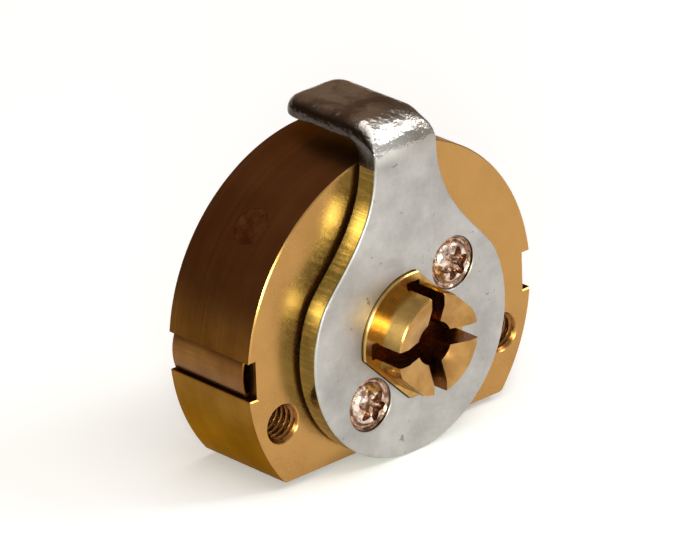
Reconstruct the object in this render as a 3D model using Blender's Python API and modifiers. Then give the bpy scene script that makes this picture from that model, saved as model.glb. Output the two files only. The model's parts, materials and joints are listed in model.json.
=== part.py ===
"""Cam lock: a short brass cylinder lock that turns a bent steel cam.

World frame: metres, +Z up, origin at the centre of the base flat. The lock's axis
runs along Y, AXIS_HEIGHT above the base flat, and the cam is on the -Y side.

Every piece hangs on the empty lock_axis, whose own frame is the one used below:
x to the right and y up as seen from the cam side, z along the axis towards the cam,
and its origin on the axis at half the housing's length.
"""

import math

import bmesh
import bpy
from mathutils import Matrix, Vector

# Housing
BODY_RADIUS = 0.0185
BODY_LENGTH = 0.0114
AXIS_HEIGHT = 0.0118
FIXING_HOLE_RADIUS = 0.00165
FIXING_HOLE_RIM = 0.0031
FIXING_HOLE_DROP = 0.0055
GROOVE_WIDTH = 0.0039
GROOVE_DEPTH = 0.00105

# Cover strips, sprung into the side grooves
STRIP_THICKNESS = 0.0003
STRIP_SIDE_GAP = 0.0001
STRIP_CROWN_DEPTH = 0.00012
STRIP_SEAT_GAP = 0.00008
STRIP_CAM_END_GAP = 0.0011
STRIP_KEY_END_GAP = 0.0003

# Rotor: plug, double-D collar and slotted drive boss
ROTOR_CLEARANCE = 0.00005
ROTOR_WALL = 0.0011
PLUG_PROUD = 0.0002
PLUG_SUNK = 0.0002
COLLAR_RADIUS = 0.0065
COLLAR_FLAT = 0.00505
COLLAR_ANGLE = math.radians(45)
COLLAR_PROUD = 0.0004
BOSS_RADIUS = 0.00515
BOSS_HEIGHT = 0.00385
BOSS_FLAT = 0.0048
BOSS_SLOT_WIDTH = 0.00165
BOSS_SLOT_REACH = 0.0056
BOSS_SLOT_DEPTH = 0.0053
BOSS_BORE_RADIUS = 0.0022
BOSS_BORE_DEPTH = 0.0068
BOSS_RIM = 0.0011
BOSS_CONE_DEPTH = 0.0004

# Cam
CAM_THICKNESS = 0.00235
CAM_GAP = 0.0004
CAM_RADIUS = 0.0125
CAM_FLANK_ANGLE = math.radians(25)
CAM_TAB_HALF_WIDTH = 0.004
CAM_TAB_THICKNESS = 0.0019
CAM_FLANK_PULL = 0.003
CAM_NECK_PULL = 0.007
CAM_BEND_OUTER_RADIUS = 0.0036
CAM_BEND_INNER_RADIUS = 0.0013
CAM_TAB_CLEARANCE = 0.0018
CAM_TAB_REACH = 0.0108
CAM_CORNER_RADIUS = 0.0022
CAM_HOLE_CLEARANCE = 0.00007

# Cam screws: M3, raised countersunk heads with a six-lobe recess
SCREW_HEAD_RADIUS = 0.0026
SCREW_SHANK_RADIUS = 0.0014
SCREW_LENGTH = 0.0056
SCREW_EDGE = 0.0002
SCREW_DOME = 0.0004
SCREW_HEAD_WALL = 0.0001
SCREW_CLEARANCE = 0.0001
RECESS_RADIUS = 0.00165
RECESS_LOBE = 0.00026
RECESS_DEPTH = 0.0008

# Stop pin, which keeps the rotor in and stops it at both ends of its quarter turn.
# STOP_PLACE is its distance from the middle of the housing, towards the cam.
STOP_ANGLE = math.radians(135)
STOP_PLACE = 0.0007
STOP_RADIUS = 0.0019
STOP_TIP_RADIUS = 0.0012
STOP_TIP_REACH = 0.001
STOP_FLUSH_GAP = 0.0001
STOP_CLEARANCE = 0.0001
ROTOR_TURN = math.radians(90)

# Keyway and pin chambers: one row of pins on each side of the key
KEYWAY_WIDTH = 0.0023
KEYWAY_HEIGHT = 0.0085
KEYWAY_END_WALL = 0.0003
PINS_PER_ROW = 4
PIN_RADIUS = 0.0008
PIN_CLEARANCE = 0.00005
PIN_WALL = 0.0004
PIN_TIP_RADIUS = 0.0005
PIN_WEB = 0.0008
PIN_TRAVEL = 0.0004
PIN_END_GAP = 0.0001
LEFT_KEY_CUTS = (0.0003, 0.0005, 0.0002, 0.0004)
RIGHT_KEY_CUTS = (0.0005, 0.0002, 0.0004, 0.0003)
DRIVER_LENGTH = 0.0026
DRIVER_WAIST = 0.00012
SPRING_WIRE_RADIUS = 0.00012
SPRING_SIDE_GAP = 0.00012
SPRING_END_GAP = 0.00006
SPRING_TURNS = 5

# How finely round shapes are drawn
ROUND_STEPS = 96
SMALL_STEPS = 20
PIN_STEPS = 14
SPRING_STEPS = 9
FLANK_STEPS = 9
BEND_STEPS = 6
OVERCUT = 0.001

# Worked out from the sizes above
CAM_SIDE = BODY_LENGTH / 2
KEY_SIDE = -BODY_LENGTH / 2
PLUG_FRONT = CAM_SIDE + PLUG_PROUD
CAM_BACK = CAM_SIDE + CAM_GAP
CAM_FRONT = CAM_BACK + CAM_THICKNESS
COLLAR_FRONT = CAM_FRONT + COLLAR_PROUD
BOSS_FRONT = CAM_FRONT + BOSS_HEIGHT
BOSS_BORE_END = BOSS_FRONT - BOSS_BORE_DEPTH
SCREW_CIRCLE = (
    COLLAR_FLAT
    + CAM_HOLE_CLEARANCE
    + SCREW_HEAD_WALL
    + SCREW_CLEARANCE
    + SCREW_HEAD_RADIUS
)
ROTOR_RADIUS = SCREW_CIRCLE + SCREW_SHANK_RADIUS + SCREW_CLEARANCE + ROTOR_WALL
ROTOR_BORE_RADIUS = ROTOR_RADIUS + ROTOR_CLEARANCE
FIXING_HOLE_CIRCLE = BODY_RADIUS - FIXING_HOLE_RIM
FIXING_HOLE_X = math.sqrt(FIXING_HOLE_CIRCLE**2 - FIXING_HOLE_DROP**2)
GROOVE_FLOOR = BODY_RADIUS - GROOVE_DEPTH
STOP_GROOVE_FLOOR = ROTOR_RADIUS - STOP_TIP_REACH - STOP_CLEARANCE
PIN_CHAMBER_RADIUS = PIN_RADIUS + PIN_CLEARANCE
PIN_PITCH = 2 * PIN_CHAMBER_RADIUS + PIN_WALL
PIN_PLACES = [
    PIN_PITCH * (index - (PINS_PER_ROW - 1) / 2) for index in range(PINS_PER_ROW)
]
KEYWAY_SIDE = KEYWAY_WIDTH / 2
KEYWAY_END = PIN_PLACES[-1] + PIN_CHAMBER_RADIUS + KEYWAY_END_WALL
PIN_SEAT = KEYWAY_SIDE + PIN_WEB
PIN_SHOULDER = PIN_SEAT + PIN_TRAVEL
KEY_PIN_END = math.sqrt(ROTOR_RADIUS**2 - PIN_RADIUS**2) - PIN_END_GAP
DRIVER_START = ROTOR_BORE_RADIUS + PIN_END_GAP
DRIVER_END = DRIVER_START + DRIVER_LENGTH
STRIP_CROWN = BODY_RADIUS - STRIP_CROWN_DEPTH
STRIP_HALF_WIDTH = GROOVE_WIDTH / 2 - STRIP_SIDE_GAP
STRIP_RISE = STRIP_CROWN - GROOVE_FLOOR - STRIP_THICKNESS - STRIP_SEAT_GAP
STRIP_RADIUS = (STRIP_HALF_WIDTH**2 + STRIP_RISE**2) / (2 * STRIP_RISE)
SPRING_START = DRIVER_END + SPRING_END_GAP
SPRING_END = STRIP_CROWN - STRIP_THICKNESS - SPRING_END_GAP
TAB_INNER = BODY_RADIUS + CAM_TAB_CLEARANCE
TAB_OUTER = TAB_INNER + CAM_TAB_THICKNESS
OUTER_BEND_START = TAB_OUTER - CAM_BEND_OUTER_RADIUS
INNER_BEND_START = TAB_INNER - CAM_BEND_INNER_RADIUS


def clear_scene():
    for old in list(bpy.data.objects):
        bpy.data.objects.remove(old, do_unlink=True)


def new_collection(name):
    collection = bpy.data.collections.new(name)
    bpy.context.scene.collection.children.link(collection)
    return collection


def new_empty(name, parent=None, place=(0, 0, 0), turn=(0, 0, 0)):
    empty = bpy.data.objects.new(name, None)
    empty.empty_display_size = BODY_RADIUS / 4
    empty.parent = parent
    empty.location = place
    empty.rotation_euler = turn
    PARTS.objects.link(empty)
    return empty


def material(name, colour, roughness, metallic=1.0):
    made = bpy.data.materials.new(name)
    made.use_nodes = True
    shader = made.node_tree.nodes["Principled BSDF"]
    shader.inputs["Base Color"].default_value = (*colour, 1)
    shader.inputs["Roughness"].default_value = roughness
    shader.inputs["Metallic"].default_value = metallic
    return made


def add_part(name, data, parent, finish, matrix=None):
    part = bpy.data.objects.new(name, data)
    PARTS.objects.link(part)
    part.parent = parent
    if matrix is not None:
        part.matrix_local = matrix
    data.materials.append(finish)
    if part.type == "MESH":
        data.shade_smooth()
        data.set_sharp_from_angle(angle=math.radians(30))
    return part


def add_cutter(name, mesh, parent, matrix=None):
    cutter = bpy.data.objects.new(name, mesh)
    CUTTERS.objects.link(cutter)
    cutter.parent = parent
    if matrix is not None:
        cutter.matrix_local = matrix
    cutter.hide_render = True
    cutter.display_type = "WIRE"
    return cutter


def cut(part, *cutters):
    for cutter in cutters:
        boolean = part.modifiers.new(f"cut_{cutter.name}", "BOOLEAN")
        boolean.operation = "DIFFERENCE"
        boolean.solver = "EXACT"
        boolean.object = cutter


def along(direction, origin=(0, 0, 0)):
    """The placing that turns a shape's own z to this direction, from this origin."""
    turn = Vector((0, 0, 1)).rotation_difference(Vector(direction))
    return Matrix.Translation(origin) @ turn.to_matrix().to_4x4()


def pin_line(side, z):
    """Out along one pin's line, with its flats turned half a step.

    No edge of a chamber then meets an edge of the round that it is cut into.
    """
    return along((side, 0, 0), (0, 0, z)) @ Matrix.Rotation(math.pi / PIN_STEPS, 4, "Z")


def at_angle(angle, radius=1.0, z=0.0):
    return Vector((radius * math.cos(angle), radius * math.sin(angle), z))


def cylinder(name, radius, low, high, place=(0, 0), steps=SMALL_STEPS):
    mesh = bpy.data.meshes.new(name)
    shape = bmesh.new()
    bmesh.ops.create_cone(
        shape,
        cap_ends=True,
        segments=steps,
        radius1=radius,
        radius2=radius,
        depth=high - low,
        matrix=Matrix.Translation((*place, (low + high) / 2)),
    )
    shape.to_mesh(mesh)
    shape.free()
    return mesh


def box(name, low, high):
    mesh = bpy.data.meshes.new(name)
    shape = bmesh.new()
    size = [top - bottom for bottom, top in zip(low, high)]
    middle = [(bottom + top) / 2 for bottom, top in zip(low, high)]
    fit = Matrix.Translation(middle) @ Matrix.Diagonal((*size, 1))
    bmesh.ops.create_cube(shape, size=1, matrix=fit)
    shape.to_mesh(mesh)
    shape.free()
    return mesh


def turned(name, profile, steps=SMALL_STEPS):
    """A solid turned about z from (radius, height) points, listed from the top down."""
    mesh = bpy.data.meshes.new(name)
    mesh.from_pydata(
        [(radius, 0, height) for radius, height in profile],
        [(index, index + 1) for index in range(len(profile) - 1)],
        [],
    )
    source = bpy.data.objects.new(name, mesh)
    bpy.context.scene.collection.objects.link(source)
    screw = source.modifiers.new("turn", "SCREW")
    screw.steps = steps
    screw.render_steps = steps
    screw.use_merge_vertices = True
    screw.merge_threshold = 1e-6
    return apply_to_mesh(source, name)


def prism(name, outline, low, high):
    """A flat outline in x and y, made a solid from low to high along z."""
    curve = bpy.data.curves.new(name, "CURVE")
    curve.dimensions = "2D"
    curve.fill_mode = "BOTH"
    curve.extrude = (high - low) / 2
    spline = curve.splines.new("POLY")
    spline.points.add(len(outline) - 1)
    for point, (x, y) in zip(spline.points, outline):
        point.co = (x, y, 0, 1)
    spline.use_cyclic_u = True
    source = bpy.data.objects.new(name, curve)
    bpy.context.scene.collection.objects.link(source)
    mesh = apply_to_mesh(source, name)
    mesh.transform(Matrix.Translation((0, 0, (low + high) / 2)))
    return mesh


def apply_to_mesh(source, name):
    """The evaluated mesh of a source object, welded and closed; the source is removed."""
    graph = bpy.context.evaluated_depsgraph_get()
    mesh = bpy.data.meshes.new_from_object(source.evaluated_get(graph))
    data = source.data
    bpy.data.objects.remove(source, do_unlink=True)
    if isinstance(data, bpy.types.Curve):
        bpy.data.curves.remove(data)
    else:
        bpy.data.meshes.remove(data)
    shape = bmesh.new()
    shape.from_mesh(mesh)
    bmesh.ops.remove_doubles(shape, verts=shape.verts, dist=1e-7)
    bmesh.ops.recalc_face_normals(shape, faces=shape.faces)
    shape.to_mesh(mesh)
    shape.free()
    mesh.name = name
    return mesh


def arc(radius, start, stop, steps, centre=(0, 0)):
    """Points along an arc, both ends included."""
    angles = [start + (stop - start) * index / steps for index in range(steps + 1)]
    return [
        (centre[0] + radius * math.cos(a), centre[1] + radius * math.sin(a))
        for a in angles
    ]


def double_d(radius, flat, angle):
    """A circle with two parallel flats, whose normals lie at this angle."""
    half = math.acos(flat / radius)
    points = []
    for side in (0, math.pi):
        start = angle + side + half
        stop = angle + side + math.pi - half
        points += arc(radius, start, stop, ROUND_STEPS // 4)
    return points


def flat_cutters(name, parent, flat, low, high):
    """Two blocks that leave a flat at each side of the rotor's collar or boss."""
    cutters = []
    for index, side in enumerate((0, math.pi)):
        block = box(
            f"{name}_{index}",
            (flat, -COLLAR_RADIUS - OVERCUT, low),
            (COLLAR_RADIUS + OVERCUT, COLLAR_RADIUS + OVERCUT, high),
        )
        turn = Matrix.Rotation(COLLAR_ANGLE + side, 4, "Z")
        cutters.append(add_cutter(block.name, block, parent, turn))
    return cutters


def screw_places():
    return [at_angle(COLLAR_ANGLE + side, SCREW_CIRCLE) for side in (0, math.pi)]


def make_housing(parent):
    disc = cylinder("housing", BODY_RADIUS, KEY_SIDE, CAM_SIDE, steps=ROUND_STEPS)
    housing = add_part("housing", disc, parent, BRASS)
    low = KEY_SIDE - OVERCUT
    high = CAM_SIDE + OVERCUT
    reach = BODY_RADIUS + OVERCUT
    base = box("base_flat", (-reach, -reach, low), (reach, -AXIS_HEIGHT, high))
    bore = cylinder("rotor_bore", ROTOR_BORE_RADIUS, low, high, steps=ROUND_STEPS)
    cut(housing, add_cutter("base_flat", base, parent))
    cut(housing, add_cutter("rotor_bore", bore, parent))
    for side in (-1, 1):
        label = "left" if side < 0 else "right"
        inner, outer = sorted((side * GROOVE_FLOOR, side * reach))
        groove = box(
            f"groove_{label}",
            (inner, -GROOVE_WIDTH / 2, low),
            (outer, GROOVE_WIDTH / 2, high),
        )
        cut(housing, add_cutter(groove.name, groove, parent))
        hole = cylinder(
            f"fixing_hole_{label}",
            FIXING_HOLE_RADIUS,
            low,
            high,
            place=(side * FIXING_HOLE_X, -FIXING_HOLE_DROP),
        )
        cut(housing, add_cutter(hole.name, hole, parent))
        for number, place in enumerate(PIN_PLACES, 1):
            chamber = cylinder(
                f"driver_chamber_{label}_{number}",
                PIN_CHAMBER_RADIUS,
                ROTOR_RADIUS - OVERCUT,
                reach,
                steps=PIN_STEPS,
            )
            placing = pin_line(side, place)
            cut(housing, add_cutter(chamber.name, chamber, parent, placing))
    seat = cylinder(
        "stop_pin_seat", STOP_RADIUS + STOP_CLEARANCE, ROTOR_RADIUS - OVERCUT, reach
    )
    placing = along(at_angle(STOP_ANGLE), (0, 0, STOP_PLACE))
    cut(housing, add_cutter("stop_pin_seat", seat, parent, placing))


def make_strips(parent):
    """Thin arched strips that close the spring chambers along each side groove."""
    half_angle = math.asin(STRIP_HALF_WIDTH / STRIP_RADIUS)
    centre = (STRIP_CROWN - STRIP_RADIUS, 0)
    outer = arc(STRIP_RADIUS, -half_angle, half_angle, 8, centre)
    inner = arc(STRIP_RADIUS - STRIP_THICKNESS, half_angle, -half_angle, 8, centre)
    low = KEY_SIDE + STRIP_KEY_END_GAP
    high = CAM_SIDE - STRIP_CAM_END_GAP
    for label, turn in (("right", 0), ("left", math.pi)):
        strip = prism(f"cover_strip_{label}", outer + inner, low, high)
        placing = Matrix.Rotation(turn, 4, "Z")
        add_part(strip.name, strip, parent, STRIP_BRASS, placing)


def make_rotor(parent):
    cone_radius = BOSS_RADIUS - BOSS_RIM
    profile = [
        (0, BOSS_BORE_END),
        (BOSS_BORE_RADIUS, BOSS_BORE_END),
        (BOSS_BORE_RADIUS, BOSS_FRONT - BOSS_CONE_DEPTH),
        (cone_radius, BOSS_FRONT),
        (BOSS_RADIUS, BOSS_FRONT),
        (BOSS_RADIUS, COLLAR_FRONT),
        (COLLAR_RADIUS, COLLAR_FRONT),
        (COLLAR_RADIUS, PLUG_FRONT),
        (ROTOR_RADIUS, PLUG_FRONT),
        (ROTOR_RADIUS, KEY_SIDE + PLUG_SUNK),
        (0, KEY_SIDE + PLUG_SUNK),
    ]
    rotor = add_part("rotor", turned("rotor", profile, ROUND_STEPS), parent, ROTOR_BRASS)
    top = BOSS_FRONT + OVERCUT
    cut(rotor, *flat_cutters("collar_flat", parent, COLLAR_FLAT, PLUG_FRONT, top))
    cut(rotor, *flat_cutters("boss_flat", parent, BOSS_FLAT, COLLAR_FRONT, top))
    for name, across, up in (("x", 1, 0), ("y", 0, 1)):
        half_x = BOSS_SLOT_REACH if across else BOSS_SLOT_WIDTH / 2
        half_y = BOSS_SLOT_REACH if up else BOSS_SLOT_WIDTH / 2
        slot = box(
            f"boss_slot_{name}",
            (-half_x, -half_y, BOSS_FRONT - BOSS_SLOT_DEPTH),
            (half_x, half_y, top),
        )
        cut(rotor, add_cutter(slot.name, slot, parent))
    keyway = box(
        "keyway",
        (-KEYWAY_SIDE, -KEYWAY_HEIGHT / 2, KEY_SIDE - OVERCUT),
        (KEYWAY_SIDE, KEYWAY_HEIGHT / 2, KEYWAY_END),
    )
    cut(rotor, add_cutter("keyway", keyway, parent))
    for index, (x, y, _) in enumerate(screw_places(), 1):
        hole = cylinder(
            f"screw_hole_{index}",
            SCREW_SHANK_RADIUS + SCREW_CLEARANCE,
            CAM_FRONT - SCREW_LENGTH - SCREW_CLEARANCE,
            PLUG_FRONT + OVERCUT,
            place=(x, y),
        )
        cut(rotor, add_cutter(hole.name, hole, parent))
    for side, label in ((-1, "left"), (1, "right")):
        for number, place in enumerate(PIN_PLACES, 1):
            chamber = turned(
                f"key_pin_chamber_{label}_{number}",
                [
                    (0, ROTOR_RADIUS + OVERCUT),
                    (PIN_CHAMBER_RADIUS, ROTOR_RADIUS + OVERCUT),
                    (PIN_CHAMBER_RADIUS, PIN_SEAT),
                    (PIN_TIP_RADIUS + PIN_CLEARANCE, PIN_SEAT),
                    (PIN_TIP_RADIUS + PIN_CLEARANCE, KEYWAY_SIDE / 2),
                    (0, KEYWAY_SIDE / 2),
                ],
                PIN_STEPS,
            )
            placing = pin_line(side, place)
            cut(rotor, add_cutter(chamber.name, chamber, parent, placing))
    cut(rotor, add_cutter("stop_groove", stop_groove(), parent))


def stop_groove():
    """The arc that the stop pin's tip runs in, from the rest end round by ROTOR_TURN."""
    tip = STOP_TIP_RADIUS + STOP_CLEARANCE
    end = math.asin(tip / (ROTOR_RADIUS - STOP_TIP_REACH))
    start = STOP_ANGLE - ROTOR_TURN - end
    stop = STOP_ANGLE + end
    steps = ROUND_STEPS // 3
    outline = arc(ROTOR_RADIUS + OVERCUT, start, stop, steps)
    outline += arc(STOP_GROOVE_FLOOR, stop, start, steps)
    return prism("stop_groove", outline, STOP_PLACE - tip, STOP_PLACE + tip)


def make_stop_pin(parent):
    shoulder = ROTOR_BORE_RADIUS + STOP_CLEARANCE
    outer = math.sqrt(BODY_RADIUS**2 - STOP_RADIUS**2) - STOP_FLUSH_GAP
    profile = [
        (0, outer),
        (STOP_RADIUS, outer),
        (STOP_RADIUS, shoulder),
        (STOP_TIP_RADIUS, shoulder),
        (STOP_TIP_RADIUS, ROTOR_RADIUS - STOP_TIP_REACH),
        (0, ROTOR_RADIUS - STOP_TIP_REACH),
    ]
    placing = along(at_angle(STOP_ANGLE), (0, 0, STOP_PLACE))
    add_part("stop_pin", turned("stop_pin", profile), parent, BRASS, placing)


def flank_points():
    """(half width, height) up the cam's flank, from its round part to the bend."""
    foot = at_angle(CAM_FLANK_ANGLE, CAM_RADIUS)
    neck = Vector((CAM_TAB_HALF_WIDTH, OUTER_BEND_START, 0))
    leave = foot + CAM_FLANK_PULL * at_angle(CAM_FLANK_ANGLE + math.pi / 2)
    arrive = neck - CAM_NECK_PULL * Vector((0, 1, 0))
    points = []
    for index in range(FLANK_STEPS + 1):
        t = index / FLANK_STEPS
        point = (
            (1 - t) ** 3 * foot
            + 3 * t * (1 - t) ** 2 * leave
            + 3 * t**2 * (1 - t) * arrive
            + t**3 * neck
        )
        points.append((point.x, point.y))
    return points


def bend_point(angle, radius, start, plane):
    """(y, z) this far round a bend, which leaves the plane z = plane at y = start."""
    return start + radius * math.sin(angle), plane - radius * (1 - math.cos(angle))


def cam_sections():
    """Sections across the cam from its lowest edge to the tab's end.

    Each is (half width, centre of the front edge, centre of the back edge), with the
    centres as (y, z).
    """
    sections = []
    steps = ROUND_STEPS // 4
    start = -math.pi / 2 + math.pi / ROUND_STEPS
    for half, y in arc(CAM_RADIUS, start, CAM_FLANK_ANGLE, steps)[:-1] + flank_points():
        sections.append((half, (y, CAM_FRONT), (y, CAM_BACK)))
    for index in range(1, BEND_STEPS + 1):
        angle = math.pi / 2 * index / BEND_STEPS
        front = bend_point(angle, CAM_BEND_OUTER_RADIUS, OUTER_BEND_START, CAM_FRONT)
        back = bend_point(angle, CAM_BEND_INNER_RADIUS, INNER_BEND_START, CAM_BACK)
        sections.append((CAM_TAB_HALF_WIDTH, front, back))
    tab_end = CAM_SIDE - CAM_TAB_REACH
    corner = min(CAM_CORNER_RADIUS, CAM_TAB_HALF_WIDTH - OVERCUT)
    for index in range(BEND_STEPS + 1):
        angle = math.pi / 2 * index / BEND_STEPS
        half = CAM_TAB_HALF_WIDTH - corner * (1 - math.cos(angle))
        z = tab_end + corner * (1 - math.sin(angle))
        sections.append((half, (TAB_OUTER, z), (TAB_INNER, z)))
    return sections


def make_cam(parent):
    """A strip of steel lofted through its sections, so that it bends at the tab."""
    shape = bmesh.new()
    rings = []
    for half, front, back in cam_sections():
        corners = ((-half, *front), (half, *front), (half, *back), (-half, *back))
        rings.append([shape.verts.new(corner) for corner in corners])
    for low, high in zip(rings, rings[1:]):
        for side in range(4):
            other = (side + 1) % 4
            shape.faces.new((low[side], low[other], high[other], high[side]))
    shape.faces.new(reversed(rings[0]))
    shape.faces.new(rings[-1])
    bmesh.ops.recalc_face_normals(shape, faces=shape.faces)
    mesh = bpy.data.meshes.new("cam")
    shape.to_mesh(mesh)
    shape.free()
    cam = add_part("cam", mesh, parent, STEEL)
    outline = double_d(
        COLLAR_RADIUS + CAM_HOLE_CLEARANCE,
        COLLAR_FLAT + CAM_HOLE_CLEARANCE,
        COLLAR_ANGLE,
    )
    hole = prism("cam_hole", outline, CAM_BACK - OVERCUT, CAM_FRONT + OVERCUT)
    cut(cam, add_cutter("cam_hole", hole, parent))
    for index, (x, y, _) in enumerate(screw_places(), 1):
        sink = turned(f"screw_sink_{index}", sink_profile())
        placing = Matrix.Translation((x, y, 0))
        cut(cam, add_cutter(sink.name, sink, parent, placing))


def sink_profile():
    """The countersunk hole that a cam screw's head sits in."""
    head = SCREW_HEAD_RADIUS + SCREW_CLEARANCE
    shank = SCREW_SHANK_RADIUS + SCREW_CLEARANCE
    seat = CAM_FRONT - SCREW_EDGE - SCREW_CLEARANCE
    return [
        (0, CAM_FRONT + OVERCUT),
        (head, CAM_FRONT + OVERCUT),
        (head, seat),
        (shank, seat - (head - shank)),
        (shank, CAM_BACK - OVERCUT),
        (0, CAM_BACK - OVERCUT),
    ]


def recess_outline():
    """A six-lobe star, drawn as a wavy circle."""
    steps = 6 * 6
    middle = RECESS_RADIUS - RECESS_LOBE
    points = []
    for index in range(steps):
        angle = 2 * math.pi * index / steps
        radius = middle + RECESS_LOBE * math.cos(6 * angle)
        points.append((radius * math.cos(angle), radius * math.sin(angle)))
    return points


def make_screws(parent):
    top = CAM_FRONT + SCREW_DOME
    edge = CAM_FRONT - SCREW_EDGE
    profile = [
        (0, top),
        (RECESS_RADIUS, top),
        (SCREW_HEAD_RADIUS * 0.85, CAM_FRONT + SCREW_DOME / 2),
        (SCREW_HEAD_RADIUS, CAM_FRONT),
        (SCREW_HEAD_RADIUS, edge),
        (SCREW_SHANK_RADIUS, edge - (SCREW_HEAD_RADIUS - SCREW_SHANK_RADIUS)),
        (SCREW_SHANK_RADIUS, CAM_FRONT - SCREW_LENGTH),
        (0, CAM_FRONT - SCREW_LENGTH),
    ]
    for index, place in enumerate(screw_places(), 1):
        placing = Matrix.Translation(place)
        mesh = turned(f"cam_screw_{index}", profile)
        screw = add_part(mesh.name, mesh, parent, NICKEL, placing)
        recess = prism(f"recess_{index}", recess_outline(), top - RECESS_DEPTH, top + OVERCUT)
        cut(screw, add_cutter(recess.name, recess, parent, placing))


def make_pins(lock, rotor):
    """Both rows of key pins, driver pins and springs, each along its own x line."""
    for side, label, cuts in ((-1, "left", LEFT_KEY_CUTS), (1, "right", RIGHT_KEY_CUTS)):
        for number, (place, key_cut) in enumerate(zip(PIN_PLACES, cuts), 1):
            line = f"{label}_{number}"
            placing = pin_line(side, place)
            make_key_pin(f"key_pin_{line}", key_cut, rotor, placing)
            make_driver(f"driver_pin_{line}", lock, placing)
            make_spring(f"spring_{line}", lock, placing)


def make_key_pin(name, key_cut, parent, placing):
    tip = KEYWAY_SIDE - key_cut
    profile = [
        (0, KEY_PIN_END),
        (PIN_RADIUS, KEY_PIN_END),
        (PIN_RADIUS, PIN_SHOULDER),
        (PIN_TIP_RADIUS, PIN_SHOULDER),
        (PIN_TIP_RADIUS, tip + PIN_TIP_RADIUS / 2),
        (PIN_TIP_RADIUS / 3, tip),
        (0, tip),
    ]
    add_part(name, turned(name, profile, PIN_STEPS), parent, PIN_BRASS, placing)


def make_driver(name, parent, placing):
    """A driver pin with the narrow waist that catches on the shear line when picked."""
    rim = DRIVER_LENGTH / 4
    waist = PIN_RADIUS - DRIVER_WAIST
    profile = [
        (0, DRIVER_END),
        (PIN_RADIUS, DRIVER_END),
        (PIN_RADIUS, DRIVER_END - rim),
        (waist, DRIVER_END - rim),
        (waist, DRIVER_START + rim),
        (PIN_RADIUS, DRIVER_START + rim),
        (PIN_RADIUS, DRIVER_START),
        (0, DRIVER_START),
    ]
    add_part(name, turned(name, profile, PIN_STEPS), parent, PIN_STEEL, placing)


def make_spring(name, parent, placing):
    """A helix of round wire between a driver pin and the cover strip."""
    radius = PIN_CHAMBER_RADIUS - SPRING_SIDE_GAP - SPRING_WIRE_RADIUS
    low = SPRING_START + SPRING_WIRE_RADIUS
    high = SPRING_END - SPRING_WIRE_RADIUS
    steps = SPRING_TURNS * SPRING_STEPS
    curve = bpy.data.curves.new(name, "CURVE")
    curve.dimensions = "3D"
    curve.bevel_depth = SPRING_WIRE_RADIUS
    curve.bevel_resolution = 1
    curve.use_fill_caps = True
    spline = curve.splines.new("POLY")
    spline.points.add(steps)
    for index, point in enumerate(spline.points):
        turn = 2 * math.pi * index / SPRING_STEPS
        height = low + (high - low) * index / steps
        point.co = (radius * math.cos(turn), radius * math.sin(turn), height, 1)
    add_part(name, curve, parent, PIN_STEEL, placing)


clear_scene()
PARTS = new_collection("cam_lock")
CUTTERS = new_collection("cutters")
BRASS = material("brass", (0.52, 0.30, 0.10), 0.34)
STRIP_BRASS = material("strip_brass", (0.44, 0.26, 0.09), 0.38)
ROTOR_BRASS = material("rotor_brass", (0.62, 0.37, 0.12), 0.28)
PIN_BRASS = material("pin_brass", (0.66, 0.45, 0.18), 0.30)
STEEL = material("zinc_plated_steel", (0.62, 0.63, 0.64), 0.36)
NICKEL = material("nickel_plated_steel", (0.66, 0.60, 0.56), 0.24)
PIN_STEEL = material("spring_steel", (0.50, 0.51, 0.53), 0.30)

lock_axis = new_empty(
    "lock_axis", place=(0, 0, AXIS_HEIGHT), turn=(math.pi / 2, 0, 0)
)
rotor_axis = new_empty("rotor_axis", lock_axis)
make_housing(lock_axis)
make_strips(lock_axis)
make_stop_pin(lock_axis)
make_rotor(rotor_axis)
make_cam(rotor_axis)
make_screws(rotor_axis)
make_pins(lock_axis, rotor_axis)
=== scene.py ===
import json
import math

import bmesh
import bpy
import numpy as np
from mathutils import Matrix, Vector


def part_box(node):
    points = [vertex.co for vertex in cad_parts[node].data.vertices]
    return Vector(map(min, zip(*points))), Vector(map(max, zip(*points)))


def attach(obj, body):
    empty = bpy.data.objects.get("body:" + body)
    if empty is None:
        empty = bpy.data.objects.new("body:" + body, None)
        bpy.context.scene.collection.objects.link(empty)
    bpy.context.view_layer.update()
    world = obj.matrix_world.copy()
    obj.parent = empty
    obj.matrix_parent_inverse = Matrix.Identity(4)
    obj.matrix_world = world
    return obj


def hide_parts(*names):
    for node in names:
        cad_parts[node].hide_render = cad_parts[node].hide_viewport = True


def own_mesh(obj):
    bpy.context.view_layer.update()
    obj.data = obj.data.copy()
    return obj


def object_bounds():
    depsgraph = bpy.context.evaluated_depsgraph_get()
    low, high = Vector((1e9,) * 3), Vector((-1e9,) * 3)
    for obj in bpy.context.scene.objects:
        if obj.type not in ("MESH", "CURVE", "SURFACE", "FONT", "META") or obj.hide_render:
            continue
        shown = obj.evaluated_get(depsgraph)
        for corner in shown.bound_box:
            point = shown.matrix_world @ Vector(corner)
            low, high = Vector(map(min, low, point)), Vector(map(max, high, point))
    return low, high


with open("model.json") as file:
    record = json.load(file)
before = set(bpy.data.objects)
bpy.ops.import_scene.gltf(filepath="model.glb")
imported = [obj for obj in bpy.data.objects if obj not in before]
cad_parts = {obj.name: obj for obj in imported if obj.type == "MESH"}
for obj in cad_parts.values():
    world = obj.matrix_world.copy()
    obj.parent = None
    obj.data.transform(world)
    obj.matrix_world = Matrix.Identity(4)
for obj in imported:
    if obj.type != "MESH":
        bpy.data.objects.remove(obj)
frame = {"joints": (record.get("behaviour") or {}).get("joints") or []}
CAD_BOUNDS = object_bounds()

# Every shape below is drawn in the lock's own frame, in metres: x to the right and
# y up as seen from the cam side, z along the lock's axis towards the cam, and the
# origin on the axis at half the housing's length. LOCK turns it to the row frame.

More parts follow.
